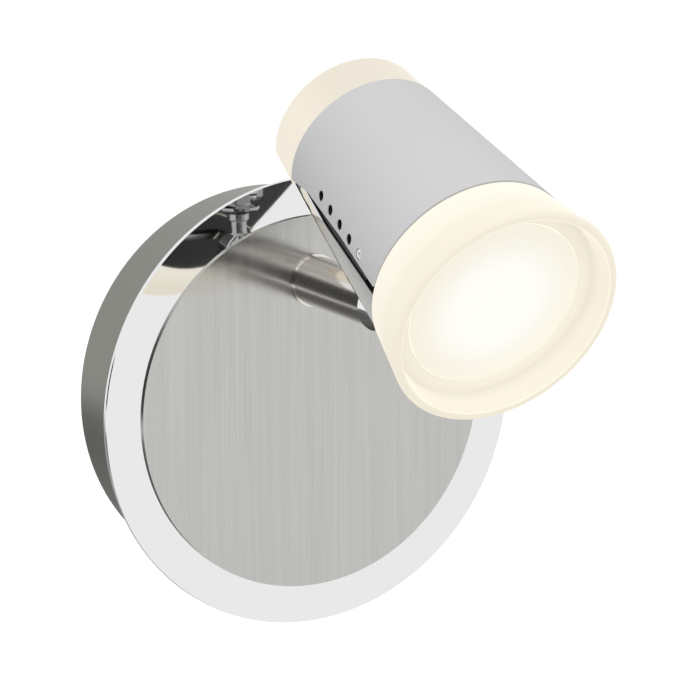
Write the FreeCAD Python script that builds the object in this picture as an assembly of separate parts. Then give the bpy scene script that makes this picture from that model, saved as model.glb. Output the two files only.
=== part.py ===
import FreeCAD, Part
import math
import os

from FreeCAD import Placement, Rotation, Vector

# Pivoting spotlight wall light. Millimetres. The wall is the plane Y = 0, the light
# stands out toward -Y, +Z is up, and the origin is the middle of the canopy on the wall.

# Canopy
FRONT_R = 60.0            # polished front plate
FRONT_T = 1.2
CANOPY_DEPTH = 30.0       # wall to the front of the polished plate
CANOPY_R = 53.2           # drawn cup behind the plate
CANOPY_WALL = 1.2
CANOPY_EDGE = 2.0         # bevel at the cup's front edge
CANOPY_WALL_GAP = 0.3     # the cup stops just short of the wall
FRONT_EDGE = 0.2          # bevel at the rim of the polished plate
DISC_R = 49.8             # brushed disc
DISC_T = 0.8

# Wall strap and the screws that hold the cup on it
STRAP_W = 18.0
STRAP_T = 1.5
STRAP_LEG = 20.0
STRAP_CLEAR = 0.3         # strap leg to cup wall
WALL_SLOT_PITCH = 60.0
WALL_SLOT_W = 4.5
WALL_SLOT_L = 9.0
CABLE_HOLE_R = 6.5
CABLE_HOLE_Z = -12.0
SIDE_SCREW_R = 1.5
SIDE_SCREW_HEAD_R = 2.8
SIDE_SCREW_HEAD_T = 1.6
SIDE_SCREW_EDGE = 0.5     # bevel round the head
SIDE_SCREW_Y = 15.0
SIDE_SCREW_TIP = 1.0      # how far a screw shows inside the strap's leg
SCREW_CLEAR = 0.2
SCREW_SLOT_W = 0.8
SCREW_SLOT_DEPTH = 0.5
EARTH_SCREW_R = 2.0
EARTH_SCREW_HEAD_R = 3.6
EARTH_SCREW_HEAD_T = 2.4
EARTH_SCREW_Z = 15.0

# Driver and terminal block, each on its own tongue of the strap
DRIVER_W = 28.0
DRIVER_DEPTH = 16.0
DRIVER_H = 36.0
DRIVER_X = -29.0
DRIVER_EDGE = 1.5         # bevel round the front
TERMINAL_W = 22.0
TERMINAL_DEPTH = 12.0
TERMINAL_H = 10.0
TERMINAL_X = 26.0
TERMINAL_WAYS = 3
TERMINAL_SCREW_HOLE_R = 1.7
TERMINAL_SCREW_HOLE_DEPTH = 5.0
TERMINAL_WIRE_HOLE_R = 1.4
TONGUE_H = 10.0

# Arm
ARM_R = 6.6
ARM_WALL = 1.0
ARM_Z = 32.7
ARM_LEN = 35.0            # front plate to the knuckle
ARM_RING_R = 7.0
ARM_RING_T = 0.9
SPIGOT_R = 5.0            # threaded end of the arm, through the canopy
SPIGOT_BORE_R = 3.0
SPIGOT_CLEAR = 0.2
SPIGOT_TIP = 1.5          # thread left showing past the nut
ARM_FLOOR_T = 2.0
ARM_NUT_AF = 15.0
ARM_NUT_T = 4.0
ARM_WASHER_R = 9.0
ARM_WASHER_T = 1.2

# Knuckle on the arm's end, with a flat on top and the fixed pivot post
KNUCKLE_LEN = 13.4
KNUCKLE_POST_AT = 6.4     # from the tube's end to the post
KNUCKLE_NOSE_R = 3.0
KNUCKLE_FLAT = 5.0
KNUCKLE_PLUG = 5.0
LEAD_WAY_R = 1.8
POST_R = 2.5
POST_WAIST = 0.25
POST_NECK = 0.5           # flare from the waist up to the collar
POST_BORE_R = 0.8
POST_H = 4.2
POST_SINK = 4.5
POST_COLLAR_R = 2.9
POST_COLLAR_T = 1.6
POST_TENON_R = 1.4
POST_TENON_H = 2.2

# Swivel hub on the post
RUN_FIT = 0.05            # radial running clearance of pins and posts
FACE_GAP = 0.3            # seat gap between faces that slide
WASHER_T = 0.5
HUB_FLANGE_R = 5.8
HUB_FLANGE_T = 1.0
HUB_FLANGE_BEVEL = 0.3
HUB_FOOT = 0.5            # flare from the flange up to the barrel
HUB_R = 3.6
HUB_EYE_T = 4.4
HUB_EYE_R = 3.0
HUB_PIVOT_H = 4.8         # tilt axis above the underside of the hub
EYE_FLOOR_CLEAR = 0.4     # hub's eye to the tray floor that swings over it
PIN_R = 1.5
PIN_HEAD_R = 2.5
PIN_HEAD_T = 1.4
PIN_NUT_AF = 5.0
PIN_NUT_T = 1.8
PIN_TIP = 0.5

# Head: a cone on one axis. Lengths ending in _T are places along that axis.
HEAD_TILT = 24.4          # degrees below level at rest
PIVOT_T = 6.68            # the tilt pin's place along the head's axis
REAR_CAP_R = 20.5
SHELL_REAR_R = 21.9
SHELL_FRONT_R = 27.2
RIM_R = 30.3
REAR_CAP_LEN = 13.4
SHELL_REAR_T = -12.6
SHELL_LEN = 54.3
CUP_LEN = 18.2
SHELL_WALL = 1.2
SHELL_EDGE = ((0.0, 5.6), (0.2, 2.1), (0.6, 0.4), (1.0, 0.05))  # lower edge: share of length, depth
ACRYLIC_STEP = 0.3
VENT_R = 1.35
VENT_COUNT = 5            # the frontmost one on each side holds the shell screw
VENT_PITCH = 6.31
VENT_FIRST = 5.64
VENT_ANGLE = 86.0         # from the top of the shell
SHELL_SCREW_R = 1.15
SHELL_SCREW_LEN = 3.4
SHELL_SCREW_SINK = 0.3    # head of the screw below the shell's outside
SHELL_SCREW_SOCKET_R = 0.6
SHELL_SCREW_SOCKET_DEPTH = 1.0
TAP_DEPTH = 0.6           # hole past the screw's tip

# Chrome tray that closes the shell below; its floor falls away toward the front
TRAY_INSET = 0.9
TRAY_WALL = 1.2
TRAY_REAR_DEPTH = 7.2
TRAY_FRONT_DEPTH = 17.3
TRAY_EDGE = ((0.0, 6.2), (0.14, 3.7), (0.4, 4.85), (1.0, 3.05))  # upper edge of its side walls
EAR_T = 2.0
EAR_END_R = 2.7
EAR_CLEAR = 0.3           # ear to the hub

# Inside of the head
CORE_FIT = 0.3
CORE_SET_BACK = 6.7       # front of the shell to the front of the core
CORE_REAR_GAP = 0.4
CORE_BORE_R = 11.0
BOARD_T = 1.6
BOARD_R = 19.0
BOARD_BORE_R = 3.0
CHIP_SIZE = 2.8
CHIP_T = 0.8
CHIP_RING_R = 11.0
CHIP_COUNT = 8
BOARD_SCREW_R = 1.2
BOARD_SCREW_HEAD_R = 2.2
BOARD_SCREW_HEAD_T = 1.2
BOARD_SCREW_AT = 16.0
BOARD_SCREW_RISE = 2.0    # above the head's axis
BOARD_SCREW_LEN = 5.0

# Acrylic
CUP_WALL = 2.4
CUP_SPIGOT_CLEAR = 1.7    # spigot to the inside of the tray at its front
CUP_SPIGOT_WALL = 2.2
CUP_SPIGOT_LEN = 4.2
CUP_WEB_T = 1.6           # closes the cup's back below the tray
CUP_WEB_CLEAR = 1.6       # web to the tray's floor, with room for the reflector
CUP_RIM_R = 1.0           # rounding of the rim's outer edge
CUP_RECESS = 6.5          # rim to the ledge that the diffuser is let into
DIFFUSER_R = 22.6
DIFFUSER_T = 2.0
DIFFUSER_RISE = 0.6
DIFFUSER_FLAT_R = 17.0
DIFFUSER_EDGE = 0.3
REFLECTOR_WALL = 1.2
REFLECTOR_BACK_R = 15.6
REFLECTOR_LIP = 1.0
CAP_WALL = 2.4
CAP_SPIGOT_LEN = 5.0
CAP_SPIGOT_WALL = 2.0
CAP_EDGE_R = 2.4          # rounding of the closed end
CAP_FLOOR_EDGE = 1.0

OUT = Vector(0, -1, 0)
UP = Vector(0, 0, 1)
RIGHT = Vector(1, 0, 0)
PLATE_Y = -CANOPY_DEPTH
CUP_FRONT_Y = PLATE_Y + FRONT_T
DISC_Y = PLATE_Y - DISC_T
CUP_INNER_R = CANOPY_R - CANOPY_WALL
STRAP_REACH = math.sqrt(CUP_INNER_R ** 2 - (STRAP_W / 2) ** 2) - STRAP_CLEAR
ARM_END_Y = DISC_Y - ARM_LEN
POST_Y = ARM_END_Y - KNUCKLE_POST_AT
KNUCKLE_TOP = ARM_Z + KNUCKLE_FLAT
POST_TOP = KNUCKLE_TOP + POST_H + POST_COLLAR_T
HUB_BASE = POST_TOP + FACE_GAP + WASHER_T + FACE_GAP
SHELL_FRONT_T = SHELL_REAR_T + SHELL_LEN
RIM_T = SHELL_FRONT_T + CUP_LEN
LEDGE_T = RIM_T - CUP_RECESS
DIFFUSER_BACK_T = LEDGE_T - DIFFUSER_T
CORE_FRONT_T = SHELL_FRONT_T - CORE_SET_BACK
CORE_REAR_T = SHELL_REAR_T + CORE_REAR_GAP
CUP_SPIGOT_R = SHELL_FRONT_R - TRAY_INSET - TRAY_WALL - CUP_SPIGOT_CLEAR
CONE_SLOPE = (SHELL_FRONT_R - SHELL_REAR_R) / SHELL_LEN
TRAY_SLOPE = (TRAY_FRONT_DEPTH - TRAY_REAR_DEPTH) / SHELL_LEN
FLOOR_ANGLE = math.atan(TRAY_SLOPE)
FLOOR_FALL = math.radians(HEAD_TILT) + FLOOR_ANGLE      # tray floor below level
PIVOT = Vector(0, POST_Y, HUB_BASE + HUB_PIVOT_H)
PIVOT_DEPTH = (TRAY_REAR_DEPTH + (PIVOT_T - SHELL_REAR_T) * TRAY_SLOPE
               + (HUB_EYE_R + EYE_FLOOR_CLEAR) / math.cos(FLOOR_ANGLE))    # below the head's axis
HEAD_TURN = Rotation(RIGHT, 90 + HEAD_TILT)
HEAD_FRAME = Placement(PIVOT - HEAD_TURN.multVec(Vector(0, -PIVOT_DEPTH, PIVOT_T)), HEAD_TURN)
EAR_OUTSIDE = HUB_EYE_T / 2 + EAR_CLEAR + EAR_T
BIG = 200.0               # longer than anything here, for cutters
ROUND_STEPS = 4           # straight steps in a rounded corner


# --- shape helpers ---------------------------------------------------------------

def rod(radius, length, start, direction, bore=0.0):
    """A straight round bar, with a bore if one is given."""
    bar = Part.makeCylinder(radius, length, start, direction)
    if bore > 0:
        bar = bar.cut(Part.makeCylinder(bore, length, start, direction))
    return bar


def rounded(before, corner, after, radius):
    """Points along the arc that rounds a corner, in a few straight steps."""
    back = (before - corner).normalize()
    ahead = (after - corner).normalize()
    half = back.getAngle(ahead) / 2
    centre = corner + (back + ahead).normalize() * (radius / math.sin(half))
    first = corner + back * (radius / math.tan(half)) - centre
    last = corner + ahead * (radius / math.tan(half)) - centre
    turn = math.pi - 2 * half
    points = []
    for k in range(ROUND_STEPS + 1):
        share = k / ROUND_STEPS
        arm = first * math.sin((1 - share) * turn) + last * math.sin(share * turn)
        points.append(centre + arm * (1 / math.sin(turn)))
    return points


def turned(profile, start=Vector(0, 0, 0), direction=UP):
    """Turn (radius, height) corners about a line. A third number rounds that corner."""
    corners = [Vector(point[0], 0, point[1]) for point in profile]
    outline = []
    for k, point in enumerate(profile):
        if len(point) == 3:
            outline += rounded(corners[k - 1], corners[k], corners[(k + 1) % len(corners)], point[2])
        else:
            outline.append(corners[k])
    face = Part.Face(Part.makePolygon(outline + outline[:1]))
    solid = face.revolve(Vector(0, 0, 0), UP, 360)
    solid.Placement = Placement(start, Rotation(UP, direction))
    return solid


def box(size, centre):
    """A block about its centre."""
    corner = Vector(*centre) - Vector(*size) * 0.5
    return Part.makeBox(size[0], size[1], size[2], corner)


def hexagon(across_flats, height, start, direction, bore):
    """A hexagon nut."""
    corner_r = across_flats / math.sqrt(3)
    corners = [Vector(corner_r * math.cos(math.radians(60 * k)),
                      corner_r * math.sin(math.radians(60 * k)), 0) for k in range(7)]
    nut = Part.Face(Part.makePolygon(corners)).extrude(UP * height)
    nut = nut.cut(Part.makeCylinder(bore, height))
    nut.Placement = Placement(start, Rotation(UP, direction))
    return nut


def slot(width, length, depth, centre, along, through):
    """A round-ended cutter, length over all, running through the given direction."""
    half = along * ((length - width) / 2)
    side = along.cross(through) * (width / 2)
    start = centre - through * (depth / 2)
    corners = [start + half + side, start - half + side, start - half - side, start + half - side]
    cutter = Part.Face(Part.makePolygon(corners + corners[:1])).extrude(through * depth)
    for end in (half, half * -1):
        cutter = cutter.fuse(Part.makeCylinder(width / 2, depth, start + end, through))
    return cutter


def in_head(shape):
    """Move a shape from the head's own frame (Z along its axis, Y its top) into place."""
    shape.Placement = HEAD_FRAME.multiply(shape.Placement)
    return shape


def cone_r(t):
    """Outer radius of the painted shell at t along the head's axis."""
    return SHELL_REAR_R + (t - SHELL_REAR_T) * CONE_SLOPE


def cone(inset, t_start, t_end):
    """The shell's cone, made smaller by inset."""
    return Part.makeCone(cone_r(t_start) - inset, cone_r(t_end) - inset, t_end - t_start,
                         Vector(0, 0, t_start), UP)


def tray_depth(t):
    """How far the tray's outer floor lies below the head's axis at t."""
    return TRAY_REAR_DEPTH + (t - SHELL_REAR_T) * TRAY_SLOPE


def over(line, offset):
    """Everything over a line of (t, depth below the axis) points raised by offset."""
    corners = [Vector(0, offset - depth, t) for t, depth in line]
    corners += [Vector(0, BIG, line[-1][0]), Vector(0, BIG, line[0][0])]
    wedge = Part.Face(Part.makePolygon(corners + corners[:1])).extrude(RIGHT * BIG)
    wedge.translate(RIGHT * (-BIG / 2))
    return wedge


def over_floor(offset, t_start, t_end):
    """Everything over the tray's outer floor raised by offset."""
    return over([(t, tray_depth(t)) for t in (t_start, t_end)], offset)


def over_edge(edge, offset):
    """Everything over a side edge given as (share of the shell's length, depth)."""
    return over([(SHELL_REAR_T + share * SHELL_LEN, depth) for share, depth in edge], offset)


# --- canopy ----------------------------------------------------------------------

def side_screw_places():
    """The top and bottom of the cup, as (direction, start on the cup's outside)."""
    return [(side, Vector(0, -SIDE_SCREW_Y, 0) + side * CANOPY_R) for side in (UP, UP * -1)]


def arm_hole(radius):
    """The hole for the arm's threaded end through the canopy."""
    return rod(radius, CANOPY_DEPTH, Vector(0, -CANOPY_DEPTH / 2, ARM_Z), OUT)


def canopy_cup():
    depth = -CUP_FRONT_Y
    back = depth - CANOPY_WALL
    profile = [(CANOPY_R, CANOPY_WALL_GAP), (CANOPY_R, depth - CANOPY_EDGE),
               (CANOPY_R - CANOPY_EDGE, depth), (0, depth), (0, back), (CUP_INNER_R - CANOPY_EDGE, back),
               (CUP_INNER_R, back - CANOPY_EDGE), (CUP_INNER_R, CANOPY_WALL_GAP)]
    cup = turned(profile, Vector(0, 0, 0), OUT)
    cup = cup.cut(arm_hole(SPIGOT_R + SPIGOT_CLEAR))
    for side, start in side_screw_places():
        cup = cup.cut(rod(SIDE_SCREW_R + SCREW_CLEAR, CANOPY_R - STRAP_REACH, start, side * -1))
    return cup


def front_plate():
    profile = [(0, 0), (FRONT_R, 0), (FRONT_R, FRONT_T - FRONT_EDGE),
               (FRONT_R - FRONT_EDGE, FRONT_T), (0, FRONT_T)]
    plate = turned(profile, Vector(0, CUP_FRONT_Y, 0), OUT)
    return plate.cut(arm_hole(SPIGOT_R + SPIGOT_CLEAR))


def brushed_disc():
    disc = rod(DISC_R, DISC_T, Vector(0, PLATE_Y, 0), OUT)
    return disc.cut(rod(SPIGOT_R + SPIGOT_CLEAR, DISC_T, Vector(0, PLATE_Y, ARM_Z), OUT))


def tongue(centre_x, width):
    """A side arm of the strap, out to the far edge of what it carries."""
    reach = abs(centre_x) + width / 2
    side = math.copysign(1, centre_x)
    return box((reach, STRAP_T, TONGUE_H), (side * reach / 2, -STRAP_T / 2, 0))


def wall_strap():
    strap = box((STRAP_W, STRAP_T, 2 * STRAP_REACH), (0, -STRAP_T / 2, 0))
    strap = strap.fuse(tongue(DRIVER_X, DRIVER_W)).fuse(tongue(TERMINAL_X, TERMINAL_W))
    for side in (1, -1):
        leg_z = side * (STRAP_REACH - STRAP_T / 2)
        leg = box((STRAP_W, STRAP_LEG, STRAP_T), (0, -STRAP_LEG / 2, leg_z))
        hole = rod(SIDE_SCREW_R, 2 * STRAP_T, Vector(0, -SIDE_SCREW_Y, leg_z - STRAP_T), UP)
        strap = strap.fuse(leg).cut(hole)
        centre = Vector(0, -STRAP_T / 2, side * WALL_SLOT_PITCH / 2)
        strap = strap.cut(slot(WALL_SLOT_W, WALL_SLOT_L, 2 * STRAP_T, centre, UP, OUT))
    for radius, z in ((CABLE_HOLE_R, CABLE_HOLE_Z), (EARTH_SCREW_R, EARTH_SCREW_Z)):
        strap = strap.cut(rod(radius, STRAP_T, Vector(0, 0, z), OUT))
    return strap.removeSplitter()


def side_screws():
    """Two short screws through the cup into the strap's legs."""
    screws = []
    shank_len = CANOPY_R - STRAP_REACH + STRAP_T + SIDE_SCREW_TIP
    for side, start in side_screw_places():
        profile = [(0, -shank_len), (SIDE_SCREW_R, -shank_len), (SIDE_SCREW_R, 0), (SIDE_SCREW_HEAD_R, 0),
                   (SIDE_SCREW_HEAD_R, SIDE_SCREW_HEAD_T - SIDE_SCREW_EDGE),
                   (SIDE_SCREW_HEAD_R - SIDE_SCREW_EDGE, SIDE_SCREW_HEAD_T), (0, SIDE_SCREW_HEAD_T)]
        screw = turned(profile, start, side)
        top = start + side * SIDE_SCREW_HEAD_T
        groove = box((2 * SIDE_SCREW_HEAD_R, SCREW_SLOT_W, 2 * SCREW_SLOT_DEPTH), top)
        screws.append(screw.cut(groove))
    return Part.makeCompound(screws)


def driver():
    front_y = -STRAP_T - DRIVER_DEPTH
    case = box((DRIVER_W, DRIVER_DEPTH, DRIVER_H), (DRIVER_X, -STRAP_T - DRIVER_DEPTH / 2, 0))
    front = [e for e in case.Edges if e.BoundBox.YMax < front_y + 0.01]
    return case.makeChamfer(DRIVER_EDGE, front)


def terminal_block():
    """A three-way block: screw holes from the front, wire holes up through it."""
    front_y = -STRAP_T - TERMINAL_DEPTH
    block = box((TERMINAL_W, TERMINAL_DEPTH, TERMINAL_H), (TERMINAL_X, (front_y - STRAP_T) / 2, 0))
    step = TERMINAL_W / TERMINAL_WAYS
    for k in range(TERMINAL_WAYS):
        x = TERMINAL_X + (k - (TERMINAL_WAYS - 1) / 2) * step
        screw_hole = rod(TERMINAL_SCREW_HOLE_R, TERMINAL_SCREW_HOLE_DEPTH, Vector(x, front_y, 0), OUT * -1)
        wire_y = front_y + TERMINAL_SCREW_HOLE_DEPTH
        wire_hole = rod(TERMINAL_WIRE_HOLE_R, TERMINAL_H, Vector(x, wire_y, -TERMINAL_H / 2), UP)
        block = block.cut(screw_hole).cut(wire_hole)
    return block


def earth_screw():
    start = Vector(0, -STRAP_T, EARTH_SCREW_Z)
    screw = rod(EARTH_SCREW_HEAD_R, EARTH_SCREW_HEAD_T, start, OUT)
    screw = screw.fuse(rod(EARTH_SCREW_R, STRAP_T, start, OUT * -1))
    groove = (2 * EARTH_SCREW_HEAD_R, 2 * SCREW_SLOT_DEPTH, SCREW_SLOT_W)
    return screw.cut(box(groove, (0, -STRAP_T - EARTH_SCREW_HEAD_T, EARTH_SCREW_Z)))


# --- arm and post ----------------------------------------------------------------

def arm_tube():
    """Tube with a threaded end that passes through the canopy."""
    start = Vector(0, DISC_Y - ARM_RING_T, ARM_Z)
    tube = rod(ARM_R, ARM_LEN - ARM_RING_T, start, OUT, ARM_R - ARM_WALL)
    floor = rod(ARM_R, ARM_FLOOR_T, start, OUT, SPIGOT_BORE_R)
    through = ARM_RING_T + DISC_T + FRONT_T + CANOPY_WALL
    spigot_len = through + ARM_WASHER_T + ARM_NUT_T + SPIGOT_TIP
    spigot = rod(SPIGOT_R, spigot_len, start, OUT * -1, SPIGOT_BORE_R)
    return tube.fuse(floor).fuse(spigot).removeSplitter()


def arm_ring():
    start = Vector(0, DISC_Y, ARM_Z)
    return rod(ARM_RING_R, ARM_RING_T, start, OUT, SPIGOT_R + SPIGOT_CLEAR)


def arm_washer():
    start = Vector(0, CUP_FRONT_Y + CANOPY_WALL, ARM_Z)
    return rod(ARM_WASHER_R, ARM_WASHER_T, start, OUT * -1, SPIGOT_R + SPIGOT_CLEAR)


def arm_nut():
    start = Vector(0, CUP_FRONT_Y + CANOPY_WALL + ARM_WASHER_T, ARM_Z)
    return hexagon(ARM_NUT_AF, ARM_NUT_T, start, OUT * -1, SPIGOT_R)


def knuckle():
    """Solid end of the arm: a plug in the tube, a rounded nose and a flat for the post."""
    start = Vector(0, ARM_END_Y, ARM_Z)
    profile = [(0, 0), (ARM_R, 0), (ARM_R, KNUCKLE_LEN, KNUCKLE_NOSE_R), (0, KNUCKLE_LEN)]
    body = turned(profile, start, OUT)
    body = body.fuse(rod(ARM_R - ARM_WALL, KNUCKLE_PLUG, start, OUT * -1))
    over_flat = 2 * (ARM_R - KNUCKLE_FLAT)
    body = body.cut(box((2 * ARM_R, KNUCKLE_LEN, over_flat),
                        (0, ARM_END_Y - KNUCKLE_LEN / 2, KNUCKLE_TOP + over_flat / 2)))
    socket = rod(POST_R, POST_SINK, Vector(0, POST_Y, KNUCKLE_TOP), UP * -1)
    lead_hole = rod(POST_BORE_R, KNUCKLE_FLAT, Vector(0, POST_Y, ARM_Z), UP)
    lead_way = rod(LEAD_WAY_R, KNUCKLE_PLUG + KNUCKLE_POST_AT, Vector(0, POST_Y, ARM_Z), OUT * -1)
    return body.cut(socket).cut(lead_hole).cut(lead_way).removeSplitter()


def pivot_post():
    """Turned post: waisted neck, collar and the tenon that the hub runs on."""
    waist_r = POST_R - POST_WAIST
    collar_top = POST_H + POST_COLLAR_T
    tip = HUB_BASE - KNUCKLE_TOP + POST_TENON_H
    profile = [(POST_BORE_R, -POST_SINK), (POST_R, -POST_SINK), (POST_R, 0), (waist_r, POST_H / 2),
               (waist_r, POST_H - POST_NECK), (POST_COLLAR_R, POST_H), (POST_COLLAR_R, collar_top),
               (POST_TENON_R, collar_top), (POST_TENON_R, tip), (POST_BORE_R, tip)]
    return turned(profile, Vector(0, POST_Y, KNUCKLE_TOP))


# --- swivel hub ------------------------------------------------------------------

def swivel_washer():
    start = Vector(0, POST_Y, POST_TOP + FACE_GAP)
    return rod(POST_COLLAR_R, WASHER_T, start, UP, POST_TENON_R + 2 * RUN_FIT)


def swivel_hub():
    """Flange and barrel that turn on the post, with a flat eye for the tilt pin."""
    start = Vector(0, POST_Y, HUB_BASE)
    barrel_h = HUB_PIVOT_H - EAR_END_R - EAR_CLEAR
    profile = [(0, 0), (HUB_FLANGE_R - HUB_FLANGE_BEVEL, 0), (HUB_FLANGE_R, HUB_FLANGE_BEVEL),
               (HUB_FLANGE_R, HUB_FLANGE_T), (HUB_R, HUB_FLANGE_T + HUB_FOOT),
               (HUB_R, barrel_h), (0, barrel_h)]
    hub = turned(profile, start)
    eye = box((HUB_EYE_T, 2 * HUB_EYE_R, HUB_PIVOT_H), (0, POST_Y, HUB_BASE + HUB_PIVOT_H / 2))
    eye = eye.common(rod(HUB_R, HUB_PIVOT_H, start, UP))
    hub = hub.fuse(eye).fuse(rod(HUB_EYE_R, HUB_EYE_T, PIVOT - RIGHT * (HUB_EYE_T / 2), RIGHT))
    hub = hub.cut(rod(POST_TENON_R + RUN_FIT, POST_TENON_H + FACE_GAP, start, UP))
    hub = hub.cut(rod(PIN_R + RUN_FIT, HUB_EYE_T, PIVOT - RIGHT * (HUB_EYE_T / 2), RIGHT))
    return hub.removeSplitter()


# --- head ------------------------------------------------------------------------

def vent_places():
    """Number, direction and place of each hole in the shell's sides."""
    places = []
    angle = math.radians(VENT_ANGLE)
    for side in (-1, 1):
        direction = Vector(side * math.sin(angle), math.cos(angle), 0)
        for k in range(VENT_COUNT):
            t = VENT_FIRST + k * VENT_PITCH
            places.append((k, direction, t))
    return places


def head_shell():
    shell = cone(0, SHELL_REAR_T, SHELL_FRONT_T).cut(cone(SHELL_WALL, SHELL_REAR_T, SHELL_FRONT_T))
    shell = shell.common(over_edge(SHELL_EDGE, 0))
    for _, direction, t in vent_places():
        start = Vector(0, 0, t) + direction * (cone_r(t) - 3 * SHELL_WALL)
        shell = shell.cut(rod(VENT_R, 5 * SHELL_WALL, start, direction))
    return in_head(shell)


def shell_screws():
    """The small screw in the frontmost hole on each side."""
    screws = []
    for k, direction, t in vent_places():
        if k == VENT_COUNT - 1:
            outer = Vector(0, 0, t) + direction * (cone_r(t) - SHELL_SCREW_SINK)
            screw = rod(SHELL_SCREW_R, SHELL_SCREW_LEN, outer, direction * -1)
            screw = screw.cut(rod(SHELL_SCREW_SOCKET_R, SHELL_SCREW_SOCKET_DEPTH, outer, direction * -1))
            screws.append(screw)
    return in_head(Part.makeCompound(screws))


def ears():
    """Two ears with round ends that come down from the tray's floor to the tilt pin."""
    rise = (HUB_EYE_R + EYE_FLOOR_CLEAR) / math.cos(FLOOR_FALL)
    rise += EAR_END_R / math.tan(math.pi / 2 - FLOOR_FALL)
    both = []
    for inside_x in (-EAR_OUTSIDE, EAR_OUTSIDE - EAR_T):
        foot = PIVOT + RIGHT * inside_x
        ear = rod(EAR_END_R, EAR_T, foot, RIGHT)
        ear = ear.fuse(box((EAR_T, 2 * EAR_END_R, rise), foot + Vector(EAR_T / 2, 0, rise / 2)))
        ear = ear.cut(in_head(over_floor(0, SHELL_REAR_T, SHELL_FRONT_T)))
        both.append(ear.cut(rod(PIN_R, EAR_T, foot, RIGHT)))
    return both


def head_tray():
    """Chrome tray: a sloping floor, side walls on the cone, and two ears for the pin."""
    outer = cone(TRAY_INSET, SHELL_REAR_T, SHELL_FRONT_T)
    inner = cone(TRAY_INSET + TRAY_WALL, SHELL_REAR_T, SHELL_FRONT_T)
    outer = outer.common(over_floor(0, SHELL_REAR_T, SHELL_FRONT_T))
    floor = outer.cut(over_floor(TRAY_WALL, SHELL_REAR_T, SHELL_FRONT_T))
    walls = outer.cut(inner).cut(over_edge(TRAY_EDGE, 0))
    tray = in_head(floor.fuse(walls))
    for ear in ears():
        tray = tray.fuse(ear)
    return tray.removeSplitter()


def head_core():
    """Dark finned core: it carries the shell, the tray, the acrylic and the board."""
    t0, t1 = CORE_REAR_T, CORE_FRONT_T
    upper = cone(SHELL_WALL + CORE_FIT, t0, t1).common(over_edge(TRAY_EDGE, CORE_FIT))
    lower = cone(TRAY_INSET + TRAY_WALL + CORE_FIT, t0, t1)
    core = upper.fuse(lower).common(over_floor(TRAY_WALL, t0, t1))
    core = core.cut(Part.makeCylinder(CORE_BORE_R, t1 - t0, Vector(0, 0, t0), UP))
    for k, direction, t in vent_places():
        if k == VENT_COUNT - 1:
            outer = Vector(0, 0, t) + direction * cone_r(t)
            tap = SHELL_SCREW_SINK + SHELL_SCREW_LEN + TAP_DEPTH
            core = core.cut(rod(SHELL_SCREW_R, tap, outer, direction * -1))
    for start in board_screw_places():
        core = core.cut(rod(BOARD_SCREW_R, BOARD_SCREW_LEN + TAP_DEPTH, start, UP * -1))
    return in_head(core.removeSplitter())


def board_screw_places():
    """Two screws across the board, a little above the head's axis."""
    return [Vector(side * BOARD_SCREW_AT, BOARD_SCREW_RISE, CORE_FRONT_T) for side in (-1, 1)]


def led_board():
    """Round board with its lower edge cut level, on the core's front face."""
    board = Part.makeCylinder(BOARD_R, BOARD_T, Vector(0, 0, CORE_FRONT_T), UP)
    board = board.cut(Part.makeCylinder(BOARD_BORE_R, BOARD_T, Vector(0, 0, CORE_FRONT_T), UP))
    flat_y = TRAY_WALL + CORE_FIT - tray_depth(CORE_FRONT_T)
    board = board.cut(box((BIG, BIG, BIG), (0, flat_y - BIG / 2, CORE_FRONT_T)))
    for start in board_screw_places():
        board = board.cut(rod(BOARD_SCREW_R + SCREW_CLEAR, BOARD_T, start, UP))
    return in_head(board)


def led_chips():
    chips = []
    top = CORE_FRONT_T + BOARD_T
    for k in range(CHIP_COUNT):
        angle = math.radians(360 * (k + 0.5) / CHIP_COUNT)
        centre = (CHIP_RING_R * math.cos(angle), CHIP_RING_R * math.sin(angle), top + CHIP_T / 2)
        chips.append(box((CHIP_SIZE, CHIP_SIZE, CHIP_T), centre))
    return in_head(Part.makeCompound(chips))


def board_screws():
    screws = []
    for start in board_screw_places():
        under_head = start + UP * BOARD_T
        screw = rod(BOARD_SCREW_HEAD_R, BOARD_SCREW_HEAD_T, under_head, UP)
        screw = screw.fuse(rod(BOARD_SCREW_R, BOARD_T + BOARD_SCREW_LEN, under_head, UP * -1))
        groove = (2 * BOARD_SCREW_HEAD_R, SCREW_SLOT_W, 2 * SCREW_SLOT_DEPTH)
        screws.append(screw.cut(box(groove, under_head + UP * BOARD_SCREW_HEAD_T)))
    return in_head(Part.makeCompound(screws))


def cup_inner_r(t):
    """Inner radius of the front cup's wall at t."""
    share = (t - SHELL_FRONT_T) / (RIM_T - SHELL_FRONT_T)
    return SHELL_FRONT_R + share * (RIM_R - SHELL_FRONT_R) - CUP_WALL


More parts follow.
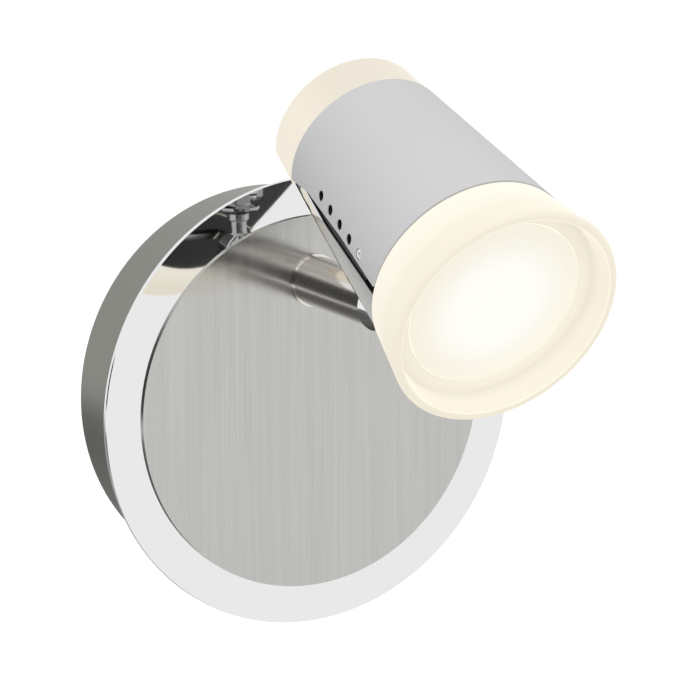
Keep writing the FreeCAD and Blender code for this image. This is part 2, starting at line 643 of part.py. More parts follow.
def front_cup():
    """Frosted cup that widens to its rim, with a spigot inside the shell."""
    back = SHELL_FRONT_T + ACRYLIC_STEP
    spigot_in = CUP_SPIGOT_R - CUP_SPIGOT_WALL
    rebate_r = DIFFUSER_R + DIFFUSER_EDGE
    profile = [(spigot_in, back - CUP_SPIGOT_LEN), (CUP_SPIGOT_R, back - CUP_SPIGOT_LEN),
               (CUP_SPIGOT_R, back), (SHELL_FRONT_R - ACRYLIC_STEP, back), (RIM_R, RIM_T, CUP_RIM_R),
               (cup_inner_r(RIM_T), RIM_T), (cup_inner_r(LEDGE_T), LEDGE_T),
               (rebate_r, LEDGE_T), (rebate_r, DIFFUSER_BACK_T), (spigot_in, DIFFUSER_BACK_T)]
    cup = turned(profile)
    flat_y = TRAY_WALL + FACE_GAP - tray_depth(back - CUP_SPIGOT_LEN)
    low = box((BIG, BIG, CUP_SPIGOT_LEN), (0, flat_y - BIG / 2, back - CUP_SPIGOT_LEN / 2))
    web = Part.makeCylinder(CUP_SPIGOT_R, CUP_WEB_T, Vector(0, 0, back), UP)
    web_y = -tray_depth(SHELL_FRONT_T) - CUP_WEB_CLEAR
    web = web.common(box((BIG, BIG, BIG), (0, web_y - BIG / 2, back)))
    return in_head(cup.cut(low).fuse(web).removeSplitter())


def reflector():
    """White funnel from the board to the diffuser, inside the cup's spigot."""
    back = CORE_FRONT_T + BOARD_T
    front = DIFFUSER_BACK_T
    front_r = CUP_SPIGOT_R - CUP_SPIGOT_WALL - FACE_GAP
    profile = [(REFLECTOR_BACK_R - REFLECTOR_WALL, back), (REFLECTOR_BACK_R, back),
               (front_r, front - REFLECTOR_LIP), (front_r, front), (front_r - REFLECTOR_WALL, front)]
    funnel = turned(profile)
    low_y = TRAY_WALL + FACE_GAP - tray_depth(back)
    tray_front = box((BIG, BIG, SHELL_FRONT_T - back), (0, low_y - BIG / 2, (SHELL_FRONT_T + back) / 2))
    for start in board_screw_places():
        funnel = funnel.cut(rod(BOARD_SCREW_HEAD_R + FACE_GAP, front - back, start + UP * BOARD_T, UP))
    return in_head(funnel.cut(tray_front))


def front_diffuser():
    """Opal disc with a slight rise in the middle, let into the ledge inside the cup."""
    profile = [(0, DIFFUSER_BACK_T), (DIFFUSER_R, DIFFUSER_BACK_T), (DIFFUSER_R, LEDGE_T),
               (DIFFUSER_FLAT_R, LEDGE_T + DIFFUSER_RISE), (0, LEDGE_T + DIFFUSER_RISE)]
    return in_head(turned(profile))


def rear_cap():
    """Frosted rear cap, flat below like the tray, with a thin spigot in the core's bore."""
    joint = SHELL_REAR_T - ACRYLIC_STEP
    end = joint - REAR_CAP_LEN
    inner_r = REAR_CAP_R - CAP_WALL
    plug_r = CORE_BORE_R - CORE_FIT
    profile = [(0, end), (REAR_CAP_R, end, CAP_EDGE_R), (SHELL_REAR_R - ACRYLIC_STEP, joint),
               (plug_r - CAP_SPIGOT_WALL, joint), (plug_r - CAP_SPIGOT_WALL, joint - CAP_WALL),
               (inner_r, joint - CAP_WALL),
               (inner_r - CAP_FLOOR_EDGE, end + CAP_WALL), (0, end + CAP_WALL)]
    spigot = rod(plug_r, CAP_SPIGOT_LEN, Vector(0, 0, joint), UP, plug_r - CAP_SPIGOT_WALL)
    spigot = spigot.common(over_floor(TRAY_WALL + FACE_GAP, joint, joint + CAP_SPIGOT_LEN))
    cap = turned(profile).common(over_floor(0, end, joint))
    inside = rod(inner_r, REAR_CAP_LEN, Vector(0, 0, end), UP)
    inside = inside.cut(over_floor(CAP_WALL, end, joint)).common(over_floor(0, end, joint))
    cap = cap.fuse(inside)
    return in_head(cap.fuse(spigot).removeSplitter())


def tilt_pin():
    """Headed pin through both ears and the hub's eye."""
    start = PIVOT - RIGHT * (EAR_OUTSIDE + PIN_HEAD_T)
    pin = rod(PIN_HEAD_R, PIN_HEAD_T, start, RIGHT)
    shank = rod(PIN_R, PIN_HEAD_T + 2 * EAR_OUTSIDE + PIN_NUT_T + PIN_TIP, start, RIGHT)
    return pin.fuse(shank).removeSplitter()


def tilt_nut():
    return hexagon(PIN_NUT_AF, PIN_NUT_T, PIVOT + RIGHT * EAR_OUTSIDE, RIGHT, PIN_R)


SUB_PARTS = {
    "wall_strap": wall_strap,
    "canopy_cup": canopy_cup,
    "front_plate": front_plate,
    "brushed_disc": brushed_disc,
    "side_screws": side_screws,
    "driver": driver,
    "terminal_block": terminal_block,
    "earth_screw": earth_screw,
    "arm_tube": arm_tube,
    "arm_ring": arm_ring,
    "arm_washer": arm_washer,
    "arm_nut": arm_nut,
    "knuckle": knuckle,
    "pivot_post": pivot_post,
    "swivel_washer": swivel_washer,
    "swivel_hub": swivel_hub,
    "head_shell": head_shell,
    "shell_screws": shell_screws,
    "head_tray": head_tray,
    "head_core": head_core,
    "led_board": led_board,
    "led_chips": led_chips,
    "board_screws": board_screws,
    "reflector": reflector,
    "front_cup": front_cup,
    "front_diffuser": front_diffuser,
    "rear_cap": rear_cap,
    "tilt_pin": tilt_pin,
    "tilt_nut": tilt_nut,
}

os.makedirs("parts", exist_ok=True)
for name, make in SUB_PARTS.items():
    shape = make()
    print(name, "valid" if shape.isValid() else "NOT VALID", len(shape.Solids), round(shape.Volume, 1))
    shape.exportStep("parts/" + name + ".step")
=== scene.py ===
import math

import bmesh
import bpy
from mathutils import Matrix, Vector


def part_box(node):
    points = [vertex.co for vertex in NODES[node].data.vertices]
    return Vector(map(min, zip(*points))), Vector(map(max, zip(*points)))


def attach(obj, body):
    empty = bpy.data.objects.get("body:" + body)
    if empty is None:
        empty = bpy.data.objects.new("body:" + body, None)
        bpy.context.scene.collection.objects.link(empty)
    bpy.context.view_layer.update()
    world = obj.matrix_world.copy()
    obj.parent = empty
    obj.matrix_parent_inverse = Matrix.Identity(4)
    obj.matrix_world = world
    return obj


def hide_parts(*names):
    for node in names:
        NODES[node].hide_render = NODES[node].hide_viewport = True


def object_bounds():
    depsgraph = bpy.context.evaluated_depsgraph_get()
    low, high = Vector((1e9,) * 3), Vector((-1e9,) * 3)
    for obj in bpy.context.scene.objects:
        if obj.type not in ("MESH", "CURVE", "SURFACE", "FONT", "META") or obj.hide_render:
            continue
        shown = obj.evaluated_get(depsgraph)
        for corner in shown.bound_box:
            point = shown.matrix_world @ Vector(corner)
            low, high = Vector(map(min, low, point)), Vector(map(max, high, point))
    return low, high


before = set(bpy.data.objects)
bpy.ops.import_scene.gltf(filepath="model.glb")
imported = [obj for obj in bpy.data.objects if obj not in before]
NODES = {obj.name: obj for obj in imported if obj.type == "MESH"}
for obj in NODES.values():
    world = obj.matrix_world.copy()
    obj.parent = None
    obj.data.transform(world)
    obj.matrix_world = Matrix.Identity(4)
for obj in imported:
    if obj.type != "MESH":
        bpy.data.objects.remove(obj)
cad_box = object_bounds()

# Lengths are in metres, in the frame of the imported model.

# Camera: it stands to the left of the object and a little above it, with a long lens.
CAMERA_AZIMUTH = math.radians(29.13)
CAMERA_ELEVATION = math.radians(12.67)
CAMERA_AIM = Vector((0.0099, -0.0323, 0.0132))
CAMERA_DISTANCE = 0.919
CAMERA_LENS = 180.0       # in millimetres, as the sensor is
CAMERA_SENSOR = 36.0

# Studio
FLOOR_DROP = 0.20         # below the object
FLOOR_SIZE = 12.0
FLOOR_TONE = 0.80
FLOOR_LIFT = 0.55         # added for the camera, so that the floor is white where no shadow falls
WORLD_LIGHT = 0.62        # how bright the world lights the object
WORLD_SHOWN = 1.0         # how bright the camera sees the world
MIRRORED = 0.9            # how bright metal and glass see the world and the floor
KEY_PLACE = (-0.50, -1.2, 1.15)     # the one lamp, large and soft
KEY_SIZE = 0.9
KEY_POWER = 17.0          # watts

# Dark cards that only reflections see: name, two opposite corners and brightness
FLAGS = (
    ("flag_below", (-0.15, -0.44, -0.24), (0.42, 0.0, -0.24), 0.05),
    ("flag_front", (-0.90, -0.74, -0.23), (0.16, -0.10, -0.23), 0.16),
    ("flag_left", (-2.4, -0.75, -0.255), (0.02, -0.75, 0.35), 0.01),
    ("flag_back", (-0.45, 0.30, -0.30), (0.5, 0.30, -0.05), 0.34),
)
FLAG_MIDDLE = 0.5         # as a share of a card's size, as the next line is
FLAG_FADE = (0.3, 0.5)    # from the middle: where a card starts to fade, and its edge

# The head's own axis at rest: a point on it, the way it points and the way up from it
HEAD_POINT = (0.0, -0.0720, 0.0651)
HEAD_TILT = math.radians(24.4)
HEAD_AHEAD = (0.0, -math.cos(HEAD_TILT), -math.sin(HEAD_TILT))
HEAD_UP = (0.0, -math.sin(HEAD_TILT), math.cos(HEAD_TILT))

# Places along that axis
SHELL_REAR = -0.0126
SHELL_FRONT = 0.0417
CUP_BACK = 0.0420
LEDGE = 0.0534
RIM = 0.0599

# Radii about that axis
SHELL_REAR_RADIUS = 0.0219
SHELL_FRONT_RADIUS = 0.0272
SPIGOT_BORE = 0.0212      # inside the cup, behind the diffuser
LEDGE_RADIUS = 0.0270     # corner of the ledge and the cup's wall
RIM_BORE = 0.0279
DIFFUSER_RADIUS = 0.0226

# Where one shade on the head gives way to another, softly from the first place to the second
SHADE_DEPTH = (0.00012, 0.0003)                             # below the shell's outside: grey to painted shade
SHADE_END = (SHELL_FRONT - 0.0012, SHELL_FRONT - 0.0004)    # along the shell: painted shade inside to grey
CAP_SHADE = (0.008, 0.021)                                  # above the axis: painted glow, bright to less bright as painted shade
CUP_FADE = (SHELL_FRONT - 0.002, RIM)                       # along the cup: painted glow, bright to beige
BACK_SHADE_AHEAD = (CUP_BACK + 0.00015, CUP_BACK + 0.0003)         # along the cup: painted shade on the back to acrylic
BACK_SHADE_SIDE = (SHELL_FRONT_RADIUS - 0.0007, SHELL_FRONT_RADIUS - 0.0004)  # outward: painted shade on the back to acrylic
BORE_SHADE = (SPIGOT_BORE + 0.0002, SPIGOT_BORE + 0.0004)    # outward: painted shade in the bore to acrylic
DIFFUSER_FADE = (0.009, DIFFUSER_RADIUS)                    # outward: painted glow, near white to warm

# Painted glow in the acrylic, in place of light through it, at the first and the second of those places
CAP_GLOW = (0.70, 0.62)
CUP_GLOW = (0.80, 0.73)
DIFFUSER_GLOW = (0.87, 0.80)
CORNER_SHADE = 0.07       # painted shade, taken off the glow round the ledge's corner
CORNER_REACH = 0.0030
LIP_GLOW = 0.12           # painted highlight, added round the rim's inner edge
LIP_REACH = 0.0004

# Grain
GRAIN_DEPTH = 0.0001
GRAIN_LEAN = math.radians(-2.5)         # of the brushed disc's grain, from upright
STREAK_SCALE = (5200.0, 400.0, 30.0)    # brushed disc: fine sideways and long upright
CLOUD_SCALE = (420.0, 60.0, 9.0)
STREAK_SHARE = 0.6
CLOUD_SHARE = 0.4
RING_SCALE = (200.0, 3000.0, 200.0)     # arm: fine along it
FROST_SCALE = 1600.0

# The knuckle on the arm's end
KNUCKLE_RADIUS = 0.0070
KNUCKLE_LENGTH = 0.0112
KNUCKLE_TAPER = math.radians(11.5)
KNUCKLE_CHAMFER = 0.0002
KNUCKLE_NOSE = 0.0026     # rounding of its front edge
GROOVE_RADIUS = 0.0061    # between the tube and the knuckle
GROOVE_WIDTH = 0.0004
NOSE_STEPS = 8
TURN_STEPS = 96           # round the arm's axis
SAME_POINT = 1e-7
SHARP_EDGE = math.radians(30)


# --- node helpers ----------------------------------------------------------------

class Tree:
    """Short calls for the node tree of one material or world."""

    def __init__(self, owner):
        owner.use_nodes = True
        self.graph = owner.node_tree
        self.graph.nodes.clear()

    def node(self, kind, inputs=(), **settings):
        """A new node. Its inputs go by name or by number."""
        made = self.graph.nodes.new(kind)
        for name, value in settings.items():
            setattr(made, name, value)
        for key, value in dict(inputs).items():
            self.put(made.inputs[key], value)
        return made

    def put(self, socket, value):
        """Links an output to the socket, or sets a plain value on it."""
        if isinstance(value, bpy.types.NodeSocket):
            self.graph.links.new(value, socket)
        else:
            socket.default_value = value

    def math(self, operation, first, second=0.0, clamp=False):
        inputs = {0: first, 1: second}
        return self.node("ShaderNodeMath", inputs, operation=operation, use_clamp=clamp).outputs[0]

    def vector_math(self, operation, first, second=(0, 0, 0)):
        return self.node("ShaderNodeVectorMath", {0: first, 1: second}, operation=operation)

    def mix(self, factor, first, second):
        """A colour between two others."""
        inputs = {"Factor": factor, "A": first, "B": second}
        return self.node("ShaderNodeMix", inputs, data_type="RGBA").outputs["Result"]

    def ramp(self, value, start, end, low=0.0, high=1.0):
        """Start where the value is low, end where it is high, and a straight line between them."""
        inputs = {"Value": value, "From Min": low, "From Max": high, "To Min": start, "To Max": end}
        return self.node("ShaderNodeMapRange", inputs).outputs["Result"]

    def rise(self, value, low, high):
        """0 where the value is low, 1 where it is high, with soft ends."""
        inputs = {"Value": value, "From Min": low, "From Max": high}
        return self.node("ShaderNodeMapRange", inputs, interpolation_type="SMOOTHSTEP").outputs["Result"]

    def fall(self, value, low, high):
        """1 where the value is low, 0 where it is high, with soft ends."""
        return self.math("SUBTRACT", 1.0, self.rise(value, low, high))

    def place(self):
        """Position on the piece at rest, in metres."""
        return self.node("ShaderNodeTexCoord").outputs["Object"]

    def stretched(self, scale, rotation=(0, 0, 0)):
        """That position with a scale of its own for each axis."""
        inputs = {"Vector": self.place(), "Scale": scale, "Rotation": rotation}
        return self.node("ShaderNodeMapping", inputs).outputs["Vector"]

    def noise(self, vector, scale=1.0, detail=2.0, roughness=0.5):
        inputs = {"Vector": vector, "Scale": scale, "Detail": detail, "Roughness": roughness}
        return self.node("ShaderNodeTexNoise", inputs).outputs["Fac"]

    def bump(self, height, strength):
        inputs = {"Height": height, "Strength": strength, "Distance": GRAIN_DEPTH}
        return self.node("ShaderNodeBump", inputs).outputs["Normal"]

    def from_head(self):
        """Offset of a point from the head's own point."""
        return self.vector_math("SUBTRACT", self.place(), HEAD_POINT).outputs["Vector"]

    def along_head(self, direction=HEAD_AHEAD):
        """How far a point lies from the head's own point in one direction."""
        return self.vector_math("DOT_PRODUCT", self.from_head(), direction).outputs["Value"]

    def off_head(self):
        """How far a point lies from the head's axis."""
        across = self.vector_math("CROSS_PRODUCT", self.from_head(), HEAD_AHEAD)
        return self.vector_math("LENGTH", across.outputs["Vector"]).outputs["Value"]

    def near_ring(self, along, radius, reach):
        """1 on a circle about the head's axis, fading to 0 at some distance from it."""
        ahead = self.math("SUBTRACT", self.along_head(), along)
        aside = self.math("SUBTRACT", self.off_head(), radius)
        square = self.math("ADD", self.math("MULTIPLY", ahead, ahead), self.math("MULTIPLY", aside, aside))
        return self.fall(self.math("SQRT", square), low=0.0, high=reach)

    def shown(self):
        """1 for the camera's own rays, 0 for the others."""
        return self.node("ShaderNodeLightPath").outputs["Is Camera Ray"]

    def mirrored(self):
        """1 for rays by way of metal or glass, 0 for the others."""
        path = self.node("ShaderNodeLightPath")
        return self.math("MAXIMUM", path.outputs["Is Glossy Ray"], path.outputs["Is Transmission Ray"])

    def blend(self, factor, first, second):
        """A shader between two others."""
        return self.node("ShaderNodeMixShader", {0: factor, 1: first.outputs[0], 2: second.outputs[0]})

    def finish(self, shader, output="ShaderNodeOutputMaterial"):
        """Sends a shader to the tree's output."""
        self.node(output, {"Surface": shader.outputs[0]})

    def surface(self, inputs):
        self.finish(self.node("ShaderNodeBsdfPrincipled", inputs))


def rgb(red, green, blue):
    return (red, green, blue, 1.0)


def grey(level):
    return rgb(level, level, level)


def cool(level):
    """Grey with a trace of blue."""
    return rgb(level, level, level + 0.005)


WHITE = grey(1.0)
# Dark colour for the painted shade on the cup's back and in its bore
BACK_SHADE = grey(0.03)


def material(name):
    made = bpy.data.materials.new(name)
    return made, Tree(made)


def grained(name, dark, light, rough, scale, detail=2.0, metallic=0.0, relief=0.0):
    """A fine grain that varies colour and roughness, raised a little where relief is given."""
    made, tree = material(name)
    grain = tree.noise(tree.place(), scale, detail)
    inputs = {
        "Base Color": tree.mix(grain, dark, light),
        "Metallic": metallic,
        "Roughness": tree.ramp(grain, *rough)}
    if relief:
        inputs["Normal"] = tree.bump(grain, relief)
    tree.surface(inputs)
    return made


# --- materials -------------------------------------------------------------------

def polished(name, dark, light):
    return grained(name, cool(dark), cool(light), rough=(0.02, 0.05), scale=90.0, detail=3.0, metallic=1.0)


def chrome():
    return polished("chrome", 0.89, 0.92)


def shaded_chrome():
    """The pivot's chrome, made darker than the plate's as painted shade under the head."""
    return polished("shaded_chrome", 0.42, 0.48)


def brushed_nickel():
    """Fine upright grain that blurs reflections sideways only."""
    made, tree = material("brushed_nickel")
    lean = (0, GRAIN_LEAN, 0)
    streak = tree.noise(tree.stretched(STREAK_SCALE, lean), detail=3.0, roughness=0.6)
    cloud = tree.noise(tree.stretched(CLOUD_SCALE, lean), detail=3.0)
    fine = tree.math("MULTIPLY", streak, STREAK_SHARE)
    broad = tree.math("MULTIPLY", cloud, CLOUD_SHARE)
    tone = tree.ramp(tree.math("ADD", fine, broad), 0.0, 1.0, low=0.35, high=0.65)
    tree.surface({
        "Base Color": tree.mix(tone, rgb(0.55, 0.545, 0.53), rgb(0.63, 0.625, 0.605)),
        "Metallic": 1.0,
        "Roughness": tree.ramp(streak, 0.15, 0.20),
        "Anisotropic": 0.92,
        "Tangent": tree.node("ShaderNodeTangent", direction_type="RADIAL", axis="Z").outputs[0],
        "Normal": tree.bump(streak, 0.05)})
    return made


def satin_nickel():
    return grained("satin_nickel", rgb(0.235, 0.235, 0.21), rgb(0.27, 0.27, 0.245), rough=(0.26, 0.36),
                   scale=1400.0, detail=3.0, metallic=1.0, relief=0.05)


def arm_nickel():
    """Turned nickel, with fine rings round the arm."""
    made, tree = material("arm_nickel")
    rings = tree.noise(tree.stretched(RING_SCALE), detail=3.0)
    tree.surface({
        "Base Color": tree.mix(rings, rgb(0.85, 0.82, 0.775), rgb(0.90, 0.87, 0.825)),
        "Metallic": 1.0,
        "Roughness": tree.ramp(rings, 0.08, 0.12),
        "Normal": tree.bump(rings, 0.03)})
    return made


def grey_paint():
    """Satin grey outside and at the front end, with painted shade on the inside and in the walls of the
    holes.
    """
    made, tree = material("grey_paint")
    grain = tree.noise(tree.place(), scale=2200.0)
    cloud = tree.noise(tree.place(), scale=30.0)
    outside = tree.mix(cloud, cool(0.53), cool(0.56))
    along = tree.along_head()
    skin = tree.ramp(along, SHELL_REAR_RADIUS, SHELL_FRONT_RADIUS, low=SHELL_REAR, high=SHELL_FRONT)
    depth = tree.math("SUBTRACT", skin, tree.off_head())
    # painted shade: dark inside the shell and in the walls of its holes
    inside = tree.math("MULTIPLY", tree.rise(depth, *SHADE_DEPTH), tree.fall(along, *SHADE_END))
    tree.surface({
        "Base Color": tree.mix(inside, outside, grey(0.02)),
        "Roughness": tree.ramp(grain, 0.34, 0.42),
        "Normal": tree.bump(grain, 0.05)})
    return made


def frosted_rear():
    """Warm cream acrylic with a painted glow in place of light through it, less toward the top as painted
    shade.
    """
    made, tree = material("frosted_rear")
    frost = tree.noise(tree.place(), scale=FROST_SCALE)
    tree.surface({
        "Base Color": tree.mix(frost, rgb(0.15, 0.14, 0.12), rgb(0.17, 0.16, 0.14)),
        "Roughness": tree.ramp(frost, 0.42, 0.5),
        "Emission Color": rgb(1.0, 0.915, 0.775),
        # painted glow in place of light through the cap, less toward the top as painted shade
        "Emission Strength": tree.ramp(tree.rise(tree.along_head(HEAD_UP), *CAP_SHADE), *CAP_GLOW),
        "Normal": tree.bump(frost, 0.04)})
    return made


def frosted_cup():
    """The same acrylic with a painted glow, brightest next to the shell and beige toward the rim, and with
    painted shade, dark and unlit, on the back and behind the diffuser."""
    made, tree = material("frosted_cup")
    frost = tree.noise(tree.place(), scale=FROST_SCALE)
    along = tree.along_head()
    off = tree.off_head()
    fade = tree.rise(along, *CUP_FADE)
    # painted shade: dark and unlit on the back where it faces the tray, and in the bore
    unshaded = tree.math("MAXIMUM", tree.rise(along, *BACK_SHADE_AHEAD), tree.rise(off, *BACK_SHADE_SIDE))
    clear = tree.math("SUBTRACT", unshaded, tree.fall(off, *BORE_SHADE), clamp=True)
    # painted shade round the ledge's corner
    corner = tree.math("MULTIPLY", tree.near_ring(LEDGE, LEDGE_RADIUS, CORNER_REACH), CORNER_SHADE)
    # painted highlight round the rim's inner edge
    lip = tree.math("MULTIPLY", tree.near_ring(RIM, RIM_BORE, LIP_REACH), LIP_GLOW)
    # painted glow, bright next to the shell and beige toward the rim
    glow = tree.math("SUBTRACT", tree.math("ADD", tree.ramp(fade, *CUP_GLOW), lip), corner)
    acrylic = tree.mix(frost, rgb(0.155, 0.15, 0.14), rgb(0.17, 0.165, 0.155))
    tree.surface({
        "Base Color": tree.mix(clear, BACK_SHADE, acrylic),
        "Roughness": tree.ramp(frost, 0.42, 0.5),
        "Emission Color": tree.mix(fade, rgb(1.0, 0.955, 0.81), rgb(1.0, 0.92, 0.755)),
        "Emission Strength": tree.math("MULTIPLY", clear, glow),
        "Normal": tree.bump(frost, 0.04)})
    return made


def opal_acrylic():
    """Painted glow in place of the light from behind: near white in the middle, warm at the edge."""
    made, tree = material("opal_acrylic")
    frost = tree.noise(tree.place(), scale=FROST_SCALE)
    edge = tree.rise(tree.off_head(), *DIFFUSER_FADE)
    tree.surface({
        "Base Color": tree.mix(frost, rgb(0.135, 0.135, 0.13), rgb(0.15, 0.15, 0.145)),
        "Roughness": tree.ramp(frost, 0.3, 0.36),
        # painted glow in place of the light from behind
        "Emission Color": tree.mix(edge, rgb(1.0, 0.985, 0.94), rgb(1.0, 0.945, 0.80)),
        "Emission Strength": tree.ramp(edge, *DIFFUSER_GLOW)})
    return made


def white_plastic():
    return grained("white_plastic", rgb(0.76, 0.76, 0.74), rgb(0.80, 0.80, 0.78), rough=(0.42, 0.52),
                   scale=900.0, relief=0.05)


def black_plastic():
    return grained("black_plastic", grey(0.015), grey(0.03), rough=(0.4, 0.55), scale=900.0)


def black_anodised():
    return grained("black_anodised", grey(0.012), grey(0.025), rough=(0.45, 0.6), scale=1500.0, relief=0.05)


def zinc():
    return grained("zinc", rgb(0.50, 0.51, 0.53), rgb(0.62, 0.63, 0.65), rough=(0.28, 0.42), scale=120.0,
                   detail=4.0, metallic=1.0)


def brass():
    return grained("brass", rgb(0.70, 0.53, 0.24), rgb(0.78, 0.62, 0.30), rough=(0.2, 0.34), scale=300.0,
                   detail=3.0, metallic=1.0)


def phosphor():
    return grained("phosphor", rgb(0.86, 0.70, 0.20), rgb(0.92, 0.78, 0.28), rough=(0.4, 0.5),
                   scale=1200.0)


# Which nodes take which material
FINISHES = (
    (chrome, ("front_plate", "knuckle", "head_tray", "side_screws", "shell_screws")),
    # the pivot's darker chrome is painted shade under the head
    (shaded_chrome, ("pivot_post", "swivel_hub", "tilt_pin")),
    (brushed_nickel, ("brushed_disc",)),
    (satin_nickel, ("canopy_cup",)),
    (arm_nickel, ("arm_tube", "arm_ring")),
    (grey_paint, ("head_shell",)),
    (frosted_rear, ("rear_cap",)),
    (frosted_cup, ("front_cup",)),
    (opal_acrylic, ("front_diffuser",)),
    (white_plastic, ("driver", "terminal_block", "led_board", "reflector")),
    (black_plastic, ("swivel_washer",)),
    (black_anodised, ("head_core",)),
    (zinc, ("wall_strap", "arm_washer", "arm_nut", "board_screws", "tilt_nut")),
    (brass, ("earth_screw",)),
    (phosphor, ("led_chips",)),
)


def dress():
    for make, names in FINISHES:
        made = make()
        for name in names:
            for slot in NODES[name].material_slots:
                slot.material = made


# --- pieces ----------------------------------------------------------------------

def knuckle_profile():
    """Distance from the tube's end, and radius: a groove, a chamfer, a slight taper and a rounded nose."""
    taper_end = KNUCKLE_LENGTH - KNUCKLE_NOSE
    nose_from = KNUCKLE_RADIUS - taper_end * math.tan(KNUCKLE_TAPER) - KNUCKLE_NOSE
    profile = [(0.0, 0.0), (0.0, GROOVE_RADIUS), (GROOVE_WIDTH, GROOVE_RADIUS),
               (GROOVE_WIDTH, KNUCKLE_RADIUS - KNUCKLE_CHAMFER),
               (GROOVE_WIDTH + KNUCKLE_CHAMFER, KNUCKLE_RADIUS)]
    for step in range(NOSE_STEPS + 1):
        angle = KNUCKLE_TAPER + (math.pi / 2 - KNUCKLE_TAPER) * step / NOSE_STEPS
        along = taper_end + KNUCKLE_NOSE * math.sin(angle)
        profile.append((along, nose_from + KNUCKLE_NOSE * math.cos(angle)))
    profile.append((KNUCKLE_LENGTH, 0.0))
    return profile


def turn(body, profile, end_y, axis_z):
    """Spins a profile round the arm's axis."""
    points = [body.verts.new((0.0, end_y - along, axis_z + radius)) for along, radius in profile]
    edges = [body.edges.new(pair) for pair in zip(points, points[1:])]
    bmesh.ops.spin(body, geom=points + edges, cent=(0.0, end_y, axis_z), axis=(0, 1, 0), angle=2 * math.pi,
                   steps=TURN_STEPS, use_merge=True)
    bmesh.ops.remove_doubles(body, verts=body.verts, dist=SAME_POINT)


def cut_level(body, height):
    """Takes off what lies above a height and closes the cut."""
    everything = body.verts[:] + body.edges[:] + body.faces[:]
    cut = bmesh.ops.bisect_plane(body, geom=everything, plane_co=(0.0, 0.0, height), plane_no=(0, 0, 1),
                                 clear_outer=True)
    rim = [part for part in cut["geom_cut"] if isinstance(part, bmesh.types.BMEdge)]
    bmesh.ops.contextual_create(body, geom=rim)
    bmesh.ops.recalc_face_normals(body, faces=body.faces)


def shade(body):
    """Smooth faces with sharp edges between those that meet at a steep angle."""
    for face in body.faces:
        face.smooth = True
    for edge in body.edges:
        edge.smooth = edge.is_manifold and edge.calc_face_angle() < SHARP_EDGE


def knuckle():
    """Closes the arm's end, and is flat where the post stands."""
    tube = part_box("arm_tube")
    body = bmesh.new()
    turn(body, knuckle_profile(), tube[0].y, (tube[0].z + tube[1].z) / 2)
    cut_level(body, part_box("knuckle")[1].z)
    shade(body)
    mesh = bpy.data.meshes.new("polished_knuckle")
    body.to_mesh(mesh)
    body.free()
    made = bpy.data.objects.new("polished_knuckle", mesh)
    bpy.context.scene.collection.objects.link(made)
    made.data.materials.append(NODES["knuckle"].material_slots[0].material)
    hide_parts("knuckle")
    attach(made, "canopy")


# --- studio ----------------------------------------------------------------------

def spread_axes(low, high):
    """The two axes that a flat sheet spreads over, from two opposite corners."""
    return [axis for axis in range(3) if low[axis] != high[axis]]


def flat_sheet(name, low, high):
    """A rectangle between two opposite corners, which isn't part of the object."""
    first, second = spread_axes(low, high)
    corners = []
    for first_end, second_end in ((low, low), (high, low), (high, high), (low, high)):
        corner = list(low)
        corner[first] = first_end[first]
        corner[second] = second_end[second]
        corners.append(corner)
    mesh = bpy.data.meshes.new(name)
    mesh.from_pydata(corners, [], [(0, 1, 2, 3)])
    sheet = bpy.data.objects.new(name, mesh)
    bpy.context.scene.collection.objects.link(sheet)
    return sheet


def floor():
    """Pale, lifted to white for the camera, and even in reflections."""
    half = FLOOR_SIZE / 2
    z = cad_box[0].z - FLOOR_DROP
    sheet = flat_sheet("floor", (-half, -half, z), (half, half, z))
    made, tree = material("floor")
    pale = tree.node("ShaderNodeBsdfPrincipled", {
        "Base Color": grey(FLOOR_TONE),
        "Roughness": 0.9,
        "Specular IOR Level": 0.0,
        "Emission Color": WHITE,
        "Emission Strength": tree.math("MULTIPLY", tree.shown(), FLOOR_LIFT)})
    even = tree.node("ShaderNodeEmission", {"Color": WHITE, "Strength": MIRRORED})
    tree.finish(tree.blend(tree.mirrored(), pale, even))
    sheet.data.materials.append(made)


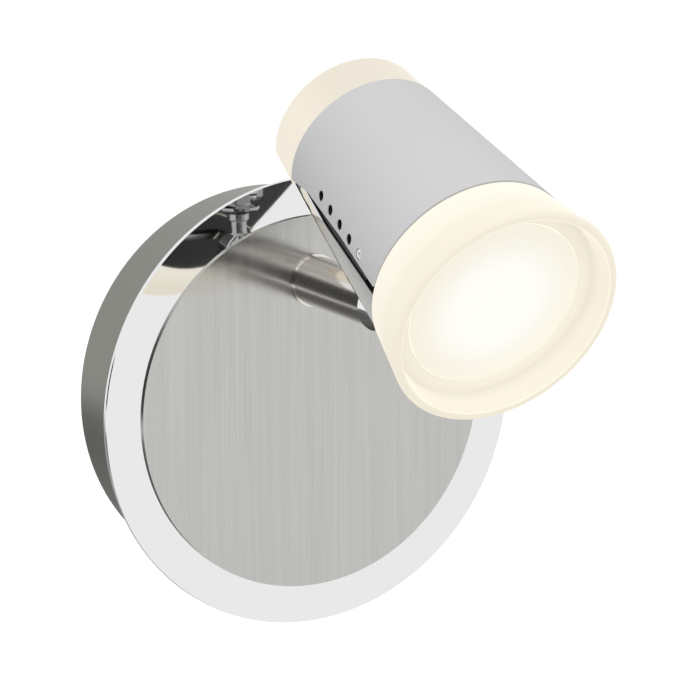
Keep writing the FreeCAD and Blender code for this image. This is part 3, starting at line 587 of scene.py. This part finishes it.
def flag(name, low, high, brightness):
    """A soft-edged dark card that only reflections see."""
    sheet = flat_sheet(name, low, high)
    for ray in ("visible_camera", "visible_diffuse", "visible_shadow", "visible_transmission"):
        setattr(sheet, ray, False)
    made, tree = material(name)
    across = tree.node("ShaderNodeTexCoord").outputs["Generated"]
    share = tree.node("ShaderNodeSeparateXYZ", {"Vector": across})
    cover = 1.0
    for axis in spread_axes(low, high):
        off_middle = tree.math("ABSOLUTE", tree.math("SUBTRACT", share.outputs[axis], FLAG_MIDDLE))
        cover = tree.math("MULTIPLY", cover, tree.fall(off_middle, *FLAG_FADE))
    clear = tree.node("ShaderNodeBsdfTransparent")
    dark = tree.node("ShaderNodeEmission", {"Color": WHITE, "Strength": brightness})
    tree.finish(tree.blend(cover, clear, dark))
    sheet.data.materials.append(made)


def backdrop():
    """The world: white where the camera sees it, and a soft studio for everything else."""
    world = bpy.data.worlds.new("studio")
    bpy.context.scene.world = world
    tree = Tree(world)
    unseen = tree.ramp(tree.mirrored(), WORLD_LIGHT, MIRRORED)
    strength = tree.ramp(tree.shown(), unseen, WORLD_SHOWN)
    background = tree.node("ShaderNodeBackground", {"Color": WHITE, "Strength": strength})
    tree.finish(background, "ShaderNodeOutputWorld")


def aim(made, direction):
    """Turns a lamp or a camera so that it looks in one direction."""
    made.rotation_euler = direction.to_track_quat("-Z", "Y").to_euler()


def lamp(name, place, target, size, power):
    """A round soft lamp that metal doesn't mirror."""
    data = bpy.data.lights.new(name, "AREA")
    data.shape = "DISK"
    data.size = size
    data.energy = power
    made = bpy.data.objects.new(name, data)
    bpy.context.scene.collection.objects.link(made)
    made.location = place
    made.visible_glossy = False
    aim(made, target - Vector(place))


def camera():
    data = bpy.data.cameras.new("camera")
    data.lens = CAMERA_LENS
    data.sensor_width = CAMERA_SENSOR
    made = bpy.data.objects.new("camera", data)
    bpy.context.scene.collection.objects.link(made)
    level = math.cos(CAMERA_ELEVATION)
    back = Vector((-math.sin(CAMERA_AZIMUTH) * level, -math.cos(CAMERA_AZIMUTH) * level,
                   math.sin(CAMERA_ELEVATION)))
    made.location = CAMERA_AIM + back * CAMERA_DISTANCE
    aim(made, -back)
    bpy.context.scene.camera = made


dress()
knuckle()
floor()
for name, low, high, brightness in FLAGS:
    flag(name, low, high, brightness)
backdrop()
lamp("key", KEY_PLACE, CAMERA_AIM, KEY_SIZE, KEY_POWER)
camera()
bpy.context.scene.view_settings.view_transform = "Standard"
